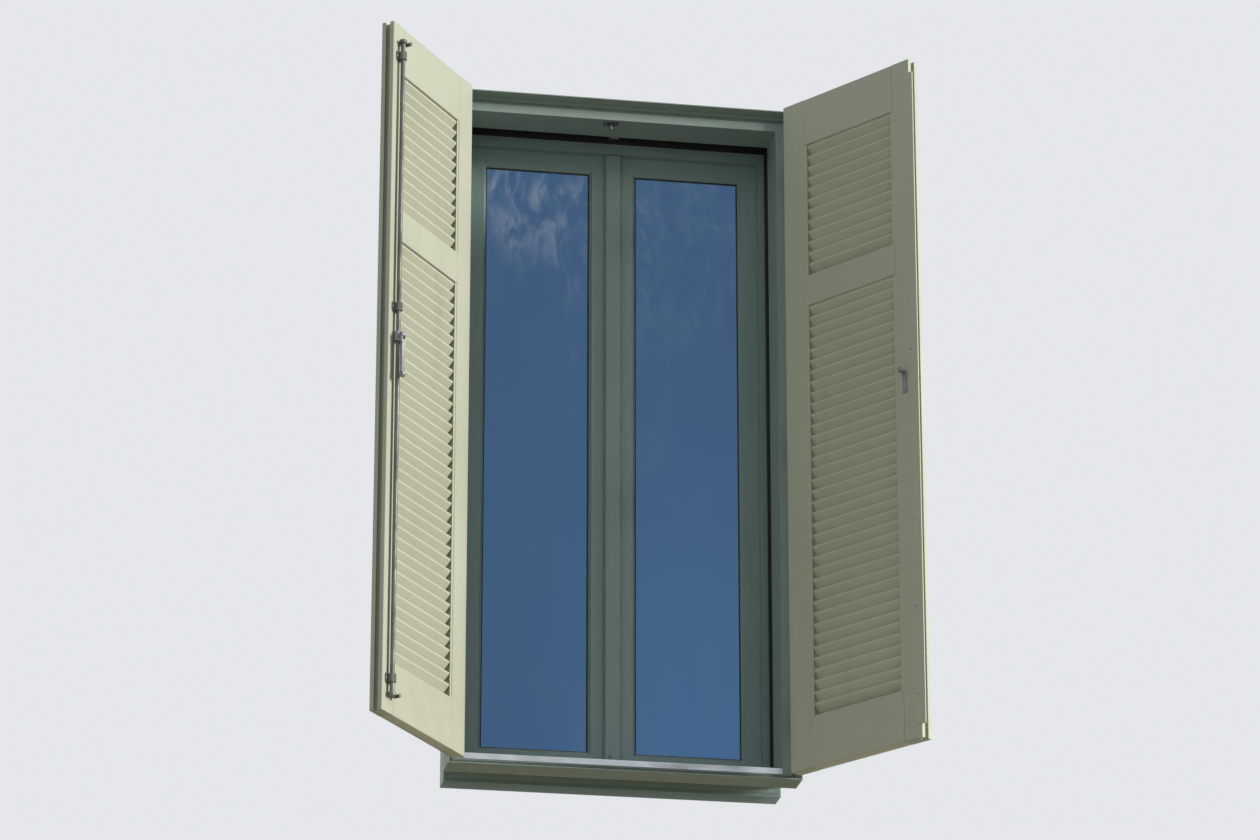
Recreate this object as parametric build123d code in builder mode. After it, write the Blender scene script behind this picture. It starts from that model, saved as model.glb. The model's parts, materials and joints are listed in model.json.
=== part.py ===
from build123d import *
from math import ceil, cos, radians, sin
import os

os.makedirs("parts", exist_ok=True)

# A pair of louvred shutters with their frame, and the two casements that the same frame carries.
# Lengths are in millimetres. The origin is on the seat under the sill, at mid width, in the plane
# that the closed leaves stop against. +X runs right as seen from outside, +Y into the room, +Z up.
# A leaf is drawn shut, on the left, and is then mirrored or not and swung open about its hinges.

# Shutter leaves
leaf_width = 452.5
leaf_height = 1865.0
leaf_thick = 35.0
hinge_stile_width = 74.0
free_stile_width = 60.0
top_rail_height = 132.0
upper_panel_height = 377.0
mid_rail_height = 86.0
bottom_rail_height = 136.0
leaf_wall = 1.8
edge_ease = 1.2
end_cap = 1.6
cap_plug_depth = 14.0
left_open_angle = 125.0
right_open_angle = 125.0

# Groove down the free edge
groove_mouth = 12.5
groove_inner = 17.0
groove_depth = 14.0

# Slats and the channels that hold their ends
slat_pitch = 30.8
slat_chord = 40.0
slat_thick = 7.0
slat_nose = 2.8
slat_taper = 4.2
slat_tilt = 52.0
slat_end_gap = 0.2
slat_side_gap = 0.5
panel_end_gap = 2.0
channel_wall = 1.5
channel_lip = 9.0

# Running gaps round the leaves
hinge_gap = 4.0
head_gap = 4.0
foot_gap = 4.0
meeting_gap = 4.0
rebate_gap = 3.5
leaf_setback = 1.0

# Outer frame
lip = 2.5
frame_wall = 2.0
jamb_stop = 42.0
head_stop = 41.5
sill_stop = 35.0
tube_depth = 45.0
fit_gap = 0.3
cleat_arm = 90.0
seal_inset = 10.0
seal_width = 8.0
seal_clear = 0.3

# Reveal lining and the screen channel behind it
lining_depth = 67.0
lining_thick = 18.0
lining_wall = 1.5
screen_depth = 50.0
screen_step = 25.0
screen_wall = 2.0
catch_height = 86.0
catch_width = 9.0
catch_depth = 14.0
catch_level = 560.0
catch_knob_radius = 3.0
catch_knob_height = 6.0
catch_ease = 3.0
head_keeper_width = 26.0
head_keeper_drop = 9.0

# Folded sheet over the sill
threshold_thick = 1.5
threshold_drop = 14.0
threshold_rise = 9.0

# Wall fixing holes through the jambs
fixing_radius = 5.25
fixing_spacing = 1300.0
fixing_back = 22.0

# Shutter hinges
hinge_height = 80.0
hinge_from_head = 196.0
hinge_from_foot = 158.0
barrel_radius = 5.5
barrel_clear = 0.6
barrel_sides = 16
pin_radius = 3.25
running_clear = 0.06
wing_thick = 1.7
wing_length = 32.0
wing_corner = 4.0
knuckle_gap = 0.2

# Turning rod that bolts the leaves
rod_radius = 6.0
rod_inset = 30.0
rod_standoff = 12.0
rod_head_drop = 46.0
rod_foot_rise = 41.0
hook_thick = 8.0
hook_inner_radius = 20.0
hook_outer_radius = 26.0
hook_hub_radius = 10.0
hook_span = 52.0
hook_lead = 35.0
hook_arm_width = 6.0
rod_fit = 0.1
boss_sides = 8
keeper_pin_radius = 4.0
keeper_pin_overlap = 10.0
keeper_reach = 15.0
keeper_plate = 2.0
keeper_plate_width = 40.0
keeper_plate_depth = 26.0
guide_height = 22.0
guide_ring = 3.5
guide_plate = 3.0
guide_plate_width = 32.0
guide_from_rod_end = 34.0
guide_from_handle = 70.0

# Drop handle on the rod
handle_level = 1000.0
handle_turn = 70.0
handle_pivot_reach = 18.0
handle_length = 106.0
handle_collar_radius = 10.0
handle_collar_height = 26.0
handle_ear_thick = 8.0
handle_eye_radius = 6.5
handle_cheek = 3.0
handle_cheek_gap = 0.2
handle_bar_thick = 8.0
handle_tip_radius = 7.5
handle_pin_radius = 3.0
handle_yoke_drop = 9.5
handle_yoke_foot = 15.0
handle_taper = 0.7

# Catch for the handle, and the strip that laps the meeting edges
strip_width = 30.0
strip_overhang = 15.0
strip_thick = 3.0
strip_end_gap = 3.0
rest_from_edge = 33.0
rest_width = 14.0
rest_plate = 2.5
rest_plate_height = 57.0
rest_shelf = 3.0
rest_nose = 7.0
rest_clear = 0.5

# Casement frame
window_stop = 18.0
window_head_stop = 29.0
window_foot_stop = 22.5
window_cover = 28.0
window_stop_depth = 18.0
window_depth = 68.0
sash_lap = 6.0
sash_seal_width = 5.0

# Casements
sash_gap = 3.0
sash_stop_gap = 2.0
sash_meeting_gap = 10.0
sash_width = 58.0
sash_depth = 56.0
sash_lip = 12.0
sash_bevel = 7.0
glass_cover = 12.0
glass_edge_gap = 3.0
pane_thick = 4.0
pane_space = 16.0
spacer_width = 11.0
spacer_inset = 2.0
glass_seat_gap = 0.2
bead_width = 14.0
bead_bevel = 6.0

# Strips that cover the joint between the casements
astragal_width = 45.0
astragal_thick = 14.0
astragal_bevel = 4.0
astragal_clear = 1.0
astragal_end_gap = 1.5
cover_width = 36.0
cover_thick = 8.0

# Casement hinges and handles
sash_barrel_radius = 6.5
sash_barrel_height = 26.0
sash_barrel_clear = 0.5
sash_barrel_sides = 12
sash_hinge_from_end = 200.0
sash_pin_radius = 3.0
sash_tab = 11.0
sash_handle_level = 1000.0
rose_width = 28.0
rose_height = 64.0
rose_thick = 8.0
rose_ease = 1.3
neck_radius = 8.0
neck_length = 26.0
grip_length = 112.0
grip_width = 18.0
grip_thick = 9.0

# Places worked out from the sizes above
rebate_width = 2 * leaf_width + meeting_gap + 2 * hinge_gap
rebate_height = leaf_height + head_gap + foot_gap
frame_width = rebate_width + 2 * lip
frame_height = rebate_height + 2 * lip
lip_front = -(leaf_setback + leaf_thick + rebate_gap)
leaf_out = lip_front + leaf_setback
leaf_in = leaf_out + leaf_thick
leaf_mid = (leaf_out + leaf_in) / 2
leaf_hinge_edge = hinge_gap - rebate_width / 2
leaf_free_edge = leaf_hinge_edge + leaf_width
leaf_foot = lip + foot_gap
leaf_head = leaf_foot + leaf_height
panel_left = leaf_hinge_edge + hinge_stile_width
panel_right = leaf_free_edge - free_stile_width
panel_width = panel_right - panel_left
top_rail_foot = leaf_head - top_rail_height
mid_rail_head = top_rail_foot - upper_panel_height
mid_rail_foot = mid_rail_head - mid_rail_height
bottom_rail_head = leaf_foot + bottom_rail_height
opening_side = rebate_width / 2 - jamb_stop
opening_head = lip + rebate_height - head_stop
opening_foot = lip + sill_stop
window_front = tube_depth + lining_depth + screen_depth
window_back = window_front + window_depth
hinge_x = rebate_width / 2 - hinge_gap / 2
hinge_y = lip_front - barrel_radius - barrel_clear
low_hinge = leaf_foot + hinge_from_foot
high_hinge = leaf_head - hinge_from_head
hinge_levels = [low_hinge, (low_hinge + high_hinge) / 2, high_hinge]
rod_x = leaf_free_edge - rod_inset
rod_y = leaf_in + rod_standoff
rod_foot = leaf_foot + rod_foot_rise
rod_head = leaf_head - rod_head_drop
up_middle = Align.CENTER, Align.CENTER, Align.MIN


def keep(piece, name):
    """Labels a finished piece and writes it to its own file."""
    piece.label = name
    export_step(piece, f"parts/{name}.step")


def block(x_low, x_high, y_low, y_high, mode=Mode.ADD):
    """Rectangle between two corners of the open sketch."""
    with Locations(((x_low + x_high) / 2, (y_low + y_high) / 2)):
        Rectangle(x_high - x_low, y_high - y_low, mode=mode)


def eased(width, height):
    """Rectangle with its corners taken off, centred on the locations of the open sketch."""
    side, top = width / 2, height / 2
    side_in, top_in = side - edge_ease, top - edge_ease
    Polygon(
        (-side_in, -top),
        (side_in, -top),
        (side, -top_in),
        (side, top_in),
        (side_in, top),
        (-side_in, top),
        (-side, top_in),
        (-side, -top_in),
    )


def boss(radius):
    """Eight-sided outline with flats on its four sides, on the locations of the open sketch."""
    RegularPolygon(radius, boss_sides, major_radius=False, rotation=180 / boss_sides)


def swing(piece, side):
    """Sets a piece of the closed left leaf on its side of the frame, swung open."""
    if side == "right":
        axis = Axis((hinge_x, hinge_y, 0), (0, 0, 1))
        return piece.mirror(Plane.YZ).rotate(axis, right_open_angle)
    axis = Axis((-hinge_x, hinge_y, 0), (0, 0, 1))
    return piece.rotate(axis, -left_open_angle)


def side_layout(side, half_width, foot, head, jamb, top, bottom):
    """Plane, length, width and end insets of one side of a mitred frame."""
    if side == "left":
        return Plane((-half_width, 0, foot), (1, 0, 0), (0, 0, 1)), head - foot, jamb, bottom, top
    if side == "right":
        return Plane((half_width, 0, head), (-1, 0, 0), (0, 0, -1)), head - foot, jamb, top, bottom
    if side == "head":
        return Plane((-half_width, 0, head), (0, 0, -1), (1, 0, 0)), 2 * half_width, top, jamb, jamb
    return Plane((half_width, 0, foot), (0, 0, 1), (-1, 0, 0)), 2 * half_width, bottom, jamb, jamb


def mitred(layout, draw):
    """Length of a profile with mitred ends. The profile is drawn outer face first, in X and depth."""
    plane, length, width, start, end = layout
    with BuildPart() as member:
        with BuildSketch(plane):
            draw(width)
        extrude(amount=length)
        with BuildSketch(Plane(plane.origin, plane.x_dir, -plane.y_dir)):
            with BuildLine():
                Polyline((0, 0), (width, start), (width, length - end), (0, length), close=True)
            make_face()
        extrude(amount=2 * window_back, both=True, mode=Mode.INTERSECT)
    return member.part


def draw_frame_profile(width):
    """Hollow tube behind the leaf, with the thin lip that stands round the leaf's edge."""
    block(0, lip, lip_front, frame_wall)
    block(0, width, 0, tube_depth)
    block(frame_wall, width - frame_wall, frame_wall, tube_depth - frame_wall, Mode.SUBTRACT)


# Outer frame: two jambs, a head and a sill
frame_sizes = frame_width / 2, 0, frame_height, lip + jamb_stop, lip + head_stop, lip + sill_stop
frame_middle = frame_height / 2
fixing_levels = frame_middle - fixing_spacing / 2, frame_middle + fixing_spacing / 2


def jamb(side, outward):
    """Jamb with its holes for the wall fixings."""
    bar = mitred(side_layout(side, *frame_sizes), draw_frame_profile)
    side_face = Plane((outward * frame_width / 2, 0, 0), (0, 1, 0), (outward, 0, 0))
    with BuildPart() as drilled:
        add(bar)
        with Locations(side_face):
            with Locations(*[(fixing_back, outward * level) for level in fixing_levels]):
                Hole(fixing_radius, depth=lip + jamb_stop + frame_wall)
    return drilled.part


keep(jamb("left", -1), "frame_jamb_left")
keep(jamb("right", 1), "frame_jamb_right")
keep(mitred(side_layout("head", *frame_sizes), draw_frame_profile), "frame_head")
keep(mitred(side_layout("sill", *frame_sizes), draw_frame_profile), "frame_sill")

# Corner cleats inside the frame's chambers
cleat_inset = frame_wall + fit_gap
cleat_depth = tube_depth - 2 * cleat_inset
jamb_chamber = lip + jamb_stop - 2 * cleat_inset - frame_wall
with BuildPart() as frame_corner_cleats:
    with BuildSketch(Plane.XZ.offset(-cleat_inset)):
        for across in (-1, 1):
            outer = across * (frame_width / 2 - cleat_inset)
            inner = outer - across * jamb_chamber
            reach = inner - across * cleat_arm
            for foot, head, arm in (
                (cleat_inset, opening_foot - cleat_inset - frame_wall, cleat_arm),
                (opening_head + cleat_inset + frame_wall, frame_height - cleat_inset, -cleat_arm),
            ):
                block(min(outer, reach), max(outer, reach), foot, head)
                block(min(outer, inner), max(outer, inner), min(foot, head + arm), max(head, foot + arm))
    extrude(amount=-cleat_depth)
keep(frame_corner_cleats.part, "frame_corner_cleats")

# Reveal lining, with the sill board carried back under the screen channel
lining_sizes = (
    opening_side + lining_thick,
    opening_foot - lining_thick,
    opening_head + lining_thick,
    lining_thick,
    lining_thick,
    lining_thick,
)


def draw_lining_profile(width, back):
    """Folded channel with its open side towards the wall."""
    block(0, width, tube_depth, back)
    block(0, width - lining_wall, tube_depth + lining_wall, back - lining_wall, Mode.SUBTRACT)


with BuildPart() as reveal_lining:
    for side in ("left", "right", "head", "sill"):
        back = window_front if side == "sill" else tube_depth + lining_depth
        add(mitred(side_layout(side, *lining_sizes), lambda width: draw_lining_profile(width, back)))
keep(reveal_lining.part, "reveal_lining")


def draw_screen_profile(width):
    """U-shaped channel for an insect screen, open towards the opening."""
    front = tube_depth + lining_depth
    block(0, width, front, window_front)
    block(screen_wall, width, front + screen_wall, window_front - screen_wall, Mode.SUBTRACT)


screen_width = screen_step + screen_wall
screen_sizes = (
    opening_side + screen_width,
    opening_foot,
    opening_head + screen_width,
    screen_width,
    screen_width,
    0,
)
with BuildPart() as screen_channels:
    for side in ("left", "right", "head"):
        add(mitred(side_layout(side, *screen_sizes), draw_screen_profile))
keep(screen_channels.part, "screen_channels")

# Slim catch standing in the right-hand screen channel, with its small keeper in the head channel
catch_x = opening_side + screen_step
with BuildPart() as screen_catch:
    with BuildSketch(Plane.XZ.offset(screen_wall - window_front)):
        block(catch_x - catch_depth, catch_x, catch_level, catch_level + catch_height)
    extrude(amount=catch_width)
    chamfer(screen_catch.edges().filter_by(Axis.Y).group_by(Axis.X)[0], catch_ease)
    with Locations(Plane.XY.offset(catch_level + catch_height)):
        with Locations((catch_x - catch_depth / 2, window_front - screen_wall - catch_width / 2)):
            Cylinder(catch_knob_radius, catch_knob_height, align=up_middle)
    with BuildSketch(Plane.XZ.offset(screen_wall - window_front)):
        head_recess = opening_head + screen_step
        block(-head_keeper_width / 2, head_keeper_width / 2, head_recess - head_keeper_drop, head_recess)
    extrude(amount=catch_width)
keep(screen_catch.part, "screen_catch")

# Threshold: a folded sheet over the sill, turned down in front and up behind
threshold_side = opening_side - fit_gap
threshold_top = opening_foot + threshold_thick
with BuildPart() as threshold_strip:
    with BuildSketch(Plane.YZ.offset(-threshold_side)):
        block(-threshold_thick, window_front, opening_foot, threshold_top)
        block(-threshold_thick, 0, opening_foot - threshold_drop, opening_foot)
        block(window_front - threshold_thick, window_front, opening_foot, opening_foot + threshold_rise)
    extrude(amount=2 * threshold_side)
keep(threshold_strip.part, "threshold_strip")

# Hollow stiles and rails of a leaf
stile_foot = leaf_foot + end_cap
stile_length = leaf_height - 2 * end_cap
hinge_stile_middle = leaf_hinge_edge + hinge_stile_width / 2
free_stile_middle = leaf_free_edge - free_stile_width / 2
chamber_thick = leaf_thick - 2 * leaf_wall
free_chamber_width = free_stile_width - 2 * leaf_wall - groove_depth
free_chamber_middle = panel_right + leaf_wall + free_chamber_width / 2
with BuildPart() as hinge_stile:
    with BuildSketch(Plane.XY.offset(stile_foot)):
        with Locations((hinge_stile_middle, leaf_mid)):
            eased(hinge_stile_width, leaf_thick)
            Rectangle(hinge_stile_width - 2 * leaf_wall, chamber_thick, mode=Mode.SUBTRACT)
    extrude(amount=stile_length)


def draw_groove():
    """T-shaped groove in the leaf's free edge, cut from the open sketch."""
    with Locations((leaf_free_edge - leaf_wall / 2, leaf_mid)):
        Rectangle(leaf_wall, groove_mouth, mode=Mode.SUBTRACT)
    with Locations((leaf_free_edge - (leaf_wall + groove_depth) / 2, leaf_mid)):
        Rectangle(groove_depth - leaf_wall, groove_inner, mode=Mode.SUBTRACT)


with BuildPart() as free_stile:
    with BuildSketch(Plane.XY.offset(stile_foot)):
        with Locations((free_stile_middle, leaf_mid)):
            eased(free_stile_width, leaf_thick)
        with Locations((free_chamber_middle, leaf_mid)):
            Rectangle(free_chamber_width, chamber_thick, mode=Mode.SUBTRACT)
        draw_groove()
    extrude(amount=stile_length)


def rail(foot, height):
    """Hollow rail between the stiles."""
    with BuildPart() as bar:
        with BuildSketch(Plane.YZ.offset(panel_left)):
            with Locations((leaf_mid, foot + height / 2)):
                eased(leaf_thick, height)
                Rectangle(chamber_thick, height - 2 * leaf_wall, mode=Mode.SUBTRACT)
        extrude(amount=panel_width)
    return bar.part


# Plastic caps that plug the ends of the stiles
plug_thick = chamber_thick - 2 * fit_gap
with BuildPart() as end_caps:
    for level, inward in ((leaf_foot, 1), (leaf_head, -1)):
        with BuildSketch(Plane.XY.offset(level)):
            with Locations((hinge_stile_middle, leaf_mid)):
                eased(hinge_stile_width, leaf_thick)
            with Locations((free_stile_middle, leaf_mid)):
                eased(free_stile_width, leaf_thick)
            draw_groove()
        extrude(amount=inward * end_cap)
        with BuildSketch(Plane.XY.offset(level + inward * end_cap)):
            with Locations((hinge_stile_middle, leaf_mid)):
                Rectangle(hinge_stile_width - 2 * (leaf_wall + fit_gap), plug_thick)
            with Locations((free_chamber_middle, leaf_mid)):
                Rectangle(free_chamber_width - 2 * fit_gap, plug_thick)
        extrude(amount=inward * cap_plug_depth)

# Blocks inside the rail ends that tie the rails to the stiles
rail_levels = (
    leaf_foot + bottom_rail_height / 2,
    mid_rail_foot + mid_rail_height / 2,
    leaf_head - top_rail_height / 2,
)
with BuildPart() as rail_cleats:
    for level in rail_levels:
        with BuildSketch(Plane.YZ.offset(panel_left)):
            with Locations((leaf_mid, level)):
                Rectangle(plug_thick, plug_thick)
        extrude(amount=cleat_arm / 2)
        with BuildSketch(Plane.YZ.offset(panel_right)):
            with Locations((leaf_mid, level)):
                Rectangle(plug_thick, plug_thick)
        extrude(amount=-cleat_arm / 2)

# Bank of fixed slats: each slopes down to the outside and laps the slat below
slat_outline = [
    (-slat_chord / 2, -slat_nose / 2),
    (slat_taper - slat_chord / 2, -slat_thick / 2),
    (slat_chord / 2 - slat_taper, -slat_thick / 2),
    (slat_chord / 2, -slat_nose / 2),
]
slat_outline += [(-x, -y) for x, y in slat_outline]
along, across = cos(radians(slat_tilt)), sin(radians(slat_tilt))
slat_reach = 2 * max(x * along - y * across for x, y in slat_outline)
slat_rise = 2 * max(x * across + y * along for x, y in slat_outline)
channel_depth = slat_reach + 2 * slat_side_gap + 2 * channel_wall
slat_start = panel_left + channel_wall + slat_end_gap
slat_length = panel_width - 2 * channel_wall - 2 * slat_end_gap
panels = (bottom_rail_head, mid_rail_foot), (mid_rail_head, top_rail_foot)


def slat_levels(foot, head):
    """Middle heights of the slats that fill a panel at about the wanted pitch."""
    run = head - foot - 2 * panel_end_gap - slat_rise
    spaces = ceil(run / slat_pitch - 0.5)
    return [foot + panel_end_gap + slat_rise / 2 + run * i / spaces for i in range(spaces + 1)]


with BuildPart() as slats:
    with BuildSketch(Plane.YZ.offset(slat_start)):
        for foot, head in panels:
            with Locations(*[(leaf_mid, level) for level in slat_levels(foot, head)]):
                Polygon(*slat_outline, rotation=slat_tilt)
    extrude(amount=slat_length)

with BuildPart() as slat_channels:
    for foot, head in panels:
        with BuildSketch(Plane.XY.offset(foot)):
            for web, inward in ((panel_left, 1), (panel_right, -1)):
                with Locations((web + inward * channel_lip / 2, leaf_mid)):
                    Rectangle(channel_lip, channel_depth)
                with Locations((web + inward * (channel_lip + channel_wall) / 2, leaf_mid)):
                    inner_depth = channel_depth - 2 * channel_wall
                    Rectangle(channel_lip - channel_wall, inner_depth, mode=Mode.SUBTRACT)
        extrude(amount=head - foot)

# Lift-off hinges: the frame's knuckle carries the pin, and the leaf's knuckle drops over it
knuckle_height = hinge_height / 2 - knuckle_gap / 2
wing_middle = lip_front + wing_length / 2


def hinge_wing(level, outer_x, knuckle_foot):
    """Plate of one hinge wing in the gap beside the leaf, with its knuckle on the axis."""
    with BuildPart() as wing:
        with BuildSketch(Plane.YZ.offset(outer_x)):
            with Locations((wing_middle, level)):
                eased(wing_length, hinge_height)
            block(hinge_y, lip_front + wing_corner, knuckle_foot, knuckle_foot + knuckle_height)
        extrude(amount=wing_thick)
        with BuildSketch(Plane.XY.offset(knuckle_foot)):
            with Locations((-hinge_x, hinge_y)):
                RegularPolygon(barrel_radius, barrel_sides, major_radius=False)
        extrude(amount=knuckle_height)
    return wing.part


with BuildPart() as leaf_wings:
    for level in hinge_levels:
        add(hinge_wing(level, leaf_hinge_edge - wing_thick, level + knuckle_gap / 2))
    with BuildSketch(Plane.XY.offset(leaf_foot)):
        with Locations((-hinge_x, hinge_y)):
            Circle(pin_radius + running_clear)
    extrude(amount=leaf_height, mode=Mode.SUBTRACT)
with BuildPart() as frame_wings:
    for level in hinge_levels:
        add(hinge_wing(level, -rebate_width / 2, level - knuckle_gap / 2 - knuckle_height))
        with Locations((-hinge_x, hinge_y, level - knuckle_gap / 2)):
            Cylinder(pin_radius, knuckle_height, align=up_middle)
    mirror(about=Plane.YZ)
keep(frame_wings.part, "hinge_frame_wings")

# Both leaves, from the same pieces
leaf_pieces = {
    "hinge_stile": hinge_stile.part,
    "free_stile": free_stile.part,
    "top_rail": rail(top_rail_foot, top_rail_height),
    "mid_rail": rail(mid_rail_foot, mid_rail_height),
    "bottom_rail": rail(leaf_foot, bottom_rail_height),
    "slats": slats.part,
    "slat_channels": slat_channels.part,
    "end_caps": end_caps.part,
    "rail_cleats": rail_cleats.part,
    "hinge_wings": leaf_wings.part,
}
for side in ("left", "right"):
    for name, piece in leaf_pieces.items():
        keep(swing(piece, side), f"shutter_{side}_{name}")

# Turning rod on the room face of the left leaf, in three guides
with BuildPart() as bolt_rod:
    with Locations((rod_x, rod_y, rod_foot)):
        Cylinder(rod_radius, rod_head - rod_foot, align=up_middle)
keep(swing(bolt_rod.part, "left"), "bolt_rod")

guide_levels = (
    rod_foot + guide_from_rod_end,
    handle_level + guide_from_handle,
    rod_head - guide_from_rod_end - guide_height,
)
with BuildPart() as rod_guides:
    for level in guide_levels:
        with BuildSketch(Plane.XY.offset(level)):
            plate_side, leg_side = guide_plate_width / 2, rod_radius + guide_ring / 2
            block(rod_x - plate_side, rod_x + plate_side, leaf_in, leaf_in + guide_plate)
            block(rod_x - leg_side, rod_x + leg_side, leaf_in, rod_y)
            with Locations((rod_x, rod_y)):
                boss(rod_radius + guide_ring)
                Circle(rod_radius + rod_fit, mode=Mode.SUBTRACT)
        extrude(amount=guide_height)
keep(swing(rod_guides.part, "left"), "rod_guides")

# Hooks at the rod's ends. As the rod turns, each one's tip passes behind a keeper pin
hook_arm_angle = 90 + hook_lead + handle_turn
hook_tip_angle = hook_arm_angle - hook_span
with BuildPart() as rod_hooks:
    for level in (rod_foot, rod_head - hook_thick):
        with BuildSketch(Plane((rod_x, rod_y, level))):
            with BuildLine():
                outer = CenterArc((0, 0), hook_outer_radius, hook_tip_angle, hook_span)
                inner = CenterArc((0, 0), hook_inner_radius, hook_tip_angle, hook_span)
                Line(outer @ 0, inner @ 0)
                Line(outer @ 1, inner @ 1)
            make_face()
            with Locations(Location((0, 0, 0), (0, 0, hook_arm_angle))):
                arm_length = (hook_inner_radius + hook_outer_radius) / 2
                Rectangle(arm_length, hook_arm_width, align=(Align.MIN, Align.CENTER))
            RegularPolygon(hook_hub_radius, barrel_sides, major_radius=False)
            Circle(rod_radius + rod_fit, mode=Mode.SUBTRACT)
        extrude(amount=hook_thick)
keep(swing(rod_hooks.part, "left"), "rod_hooks")

# Keepers on the head and the sill, each a plate with a pin
keeper_y = rod_y + keeper_reach
with BuildPart() as hook_keepers:
    for seat, inward, rod_end in ((threshold_top, 1, rod_foot), (opening_head, -1, rod_head)):
        with BuildSketch(Plane.XY.offset(seat)):
            with Locations((rod_x, keeper_y)):
                eased(keeper_plate_width, keeper_plate_depth)
        extrude(amount=inward * keeper_plate)
        with BuildSketch(Plane.XY.offset(seat)):
            with Locations((rod_x, keeper_y)):
                Circle(keeper_pin_radius)
        extrude(amount=rod_end - seat + inward * keeper_pin_overlap)
keep(hook_keepers.part, "hook_keepers")

# Drop handle, drawn on a plane through the rod that faces the way the handle lifts
handle_out = Vector(cos(radians(handle_turn)), sin(radians(handle_turn)), 0)
handle_side = Vector(-handle_out.Y, handle_out.X, 0)
handle_plane = Plane((rod_x, rod_y, handle_level), handle_out, -handle_side)
cheek_inner = handle_ear_thick / 2 + handle_cheek_gap
cheek_outer = cheek_inner + handle_cheek
with BuildPart() as handle_lug:
    with BuildSketch(Plane.XY.offset(handle_level - handle_collar_height / 2)):
        with Locations((rod_x, rod_y)):
            boss(handle_collar_radius)
    extrude(amount=handle_collar_height)
    with BuildSketch(handle_plane):
        with Locations((handle_pivot_reach / 2, 0)):
            Rectangle(handle_pivot_reach, 2 * handle_eye_radius)
        with Locations((handle_pivot_reach, 0)):
            boss(handle_eye_radius)
    extrude(amount=handle_ear_thick / 2, both=True)
    with BuildSketch(handle_plane):
        with Locations((handle_pivot_reach, 0)):
            Circle(handle_pin_radius + running_clear)
    extrude(amount=handle_ear_thick, both=True, mode=Mode.SUBTRACT)
    with Locations((rod_x, rod_y, handle_level)):
        Cylinder(rod_radius + rod_fit, 2 * handle_collar_height, mode=Mode.SUBTRACT)
keep(swing(handle_lug.part, "left"), "handle_lug")

handle_tip_width = handle_taper * handle_bar_thick
with BuildPart() as drop_handle:
    with BuildSketch(handle_plane):
        with Locations((handle_pivot_reach, 0)):
            boss(handle_eye_radius)
        with Locations((handle_pivot_reach, -handle_yoke_drop)):
            Rectangle(handle_bar_thick, 2 * handle_yoke_drop)
    extrude(amount=cheek_outer, both=True)
    with BuildSketch(handle_plane):
        with Locations((handle_pivot_reach, handle_eye_radius - handle_yoke_drop)):
            Rectangle(4 * handle_eye_radius, 2 * handle_yoke_drop)
    extrude(amount=cheek_inner, both=True, mode=Mode.SUBTRACT)
    with BuildSketch(handle_plane):
        with BuildLine():
            Polyline(
                (handle_pivot_reach - handle_bar_thick / 2, -handle_yoke_foot),
                (handle_pivot_reach + handle_bar_thick / 2, -handle_yoke_foot),
                (handle_pivot_reach + handle_tip_width / 2, -handle_length),
                (handle_pivot_reach - handle_tip_width / 2, -handle_length),
                close=True,
            )
        make_face()
        with Locations((handle_pivot_reach, -handle_length)):
            boss(handle_tip_radius)
    extrude(amount=handle_taper * cheek_outer, both=True)
    with BuildSketch(handle_plane):
        with Locations((handle_pivot_reach, 0)):
            Circle(handle_pin_radius + running_clear)
    extrude(amount=2 * cheek_outer, both=True, mode=Mode.SUBTRACT)
keep(swing(drop_handle.part, "left"), "drop_handle")

with BuildPart() as handle_pin:
    with BuildSketch(handle_plane):
        with Locations((handle_pivot_reach, 0)):
            Circle(handle_pin_radius)
    extrude(amount=cheek_outer, both=True)
keep(swing(handle_pin.part, "left"), "handle_pin")

# Strip on the right leaf that laps behind the left leaf's edge, drawn on the left like the leaf
strip_end = leaf_free_edge + strip_overhang
with BuildPart() as meeting_strip:
    with BuildSketch(Plane.XY.offset(opening_foot + strip_end_gap)):
        block(strip_end - strip_width, strip_end, leaf_in, leaf_in + strip_thick)
    extrude(amount=opening_head - opening_foot - 2 * strip_end_gap)
keep(swing(meeting_strip.part, "right"), "meeting_strip")

# Rest on the right leaf that the thrown handle drops into
shelf_top = handle_level - handle_bar_thick / 2 - rest_clear
rest_out = rod_y + cheek_outer + rest_clear
with BuildPart() as handle_rest:
    with BuildSketch(Plane.YZ.offset(leaf_free_edge - rest_from_edge)):
        block(leaf_in, leaf_in + rest_plate, shelf_top - rest_plate_height, shelf_top)
        block(leaf_in, rest_out + rest_shelf, shelf_top - rest_shelf, shelf_top)
        block(rest_out, rest_out + rest_shelf, shelf_top - rest_shelf, shelf_top + rest_nose)
    extrude(amount=rest_width / 2, both=True)
keep(swing(handle_rest.part, "right"), "handle_rest")

# Frame of the casements
window_outer = opening_side + window_cover
window_foot = opening_foot - window_cover
window_head = opening_head + window_cover
light_side = opening_side - window_stop
light_foot = opening_foot + window_foot_stop
light_head = opening_head - window_head_stop
pocket_lap = sash_lap + sash_gap


def light_block(outward, mode=Mode.ADD):
    """Rectangle of the open sketch, a given distance outside the light of the casement frame."""
    side = light_side + outward
    block(-side, side, light_foot - outward, light_head + outward, mode)


with BuildPart() as window_frame:
    with BuildSketch(Plane.XZ.offset(-window_front)):
        block(-window_outer, window_outer, window_foot, window_head)
        light_block(0, Mode.SUBTRACT)
    extrude(amount=-window_stop_depth)
    with BuildSketch(Plane.XZ.offset(-window_front - window_stop_depth)):
        block(-window_outer, window_outer, window_foot, window_head)
        light_block(pocket_lap, Mode.SUBTRACT)
    extrude(amount=window_stop_depth - window_depth)
keep(window_frame.part, "window_frame")

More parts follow.
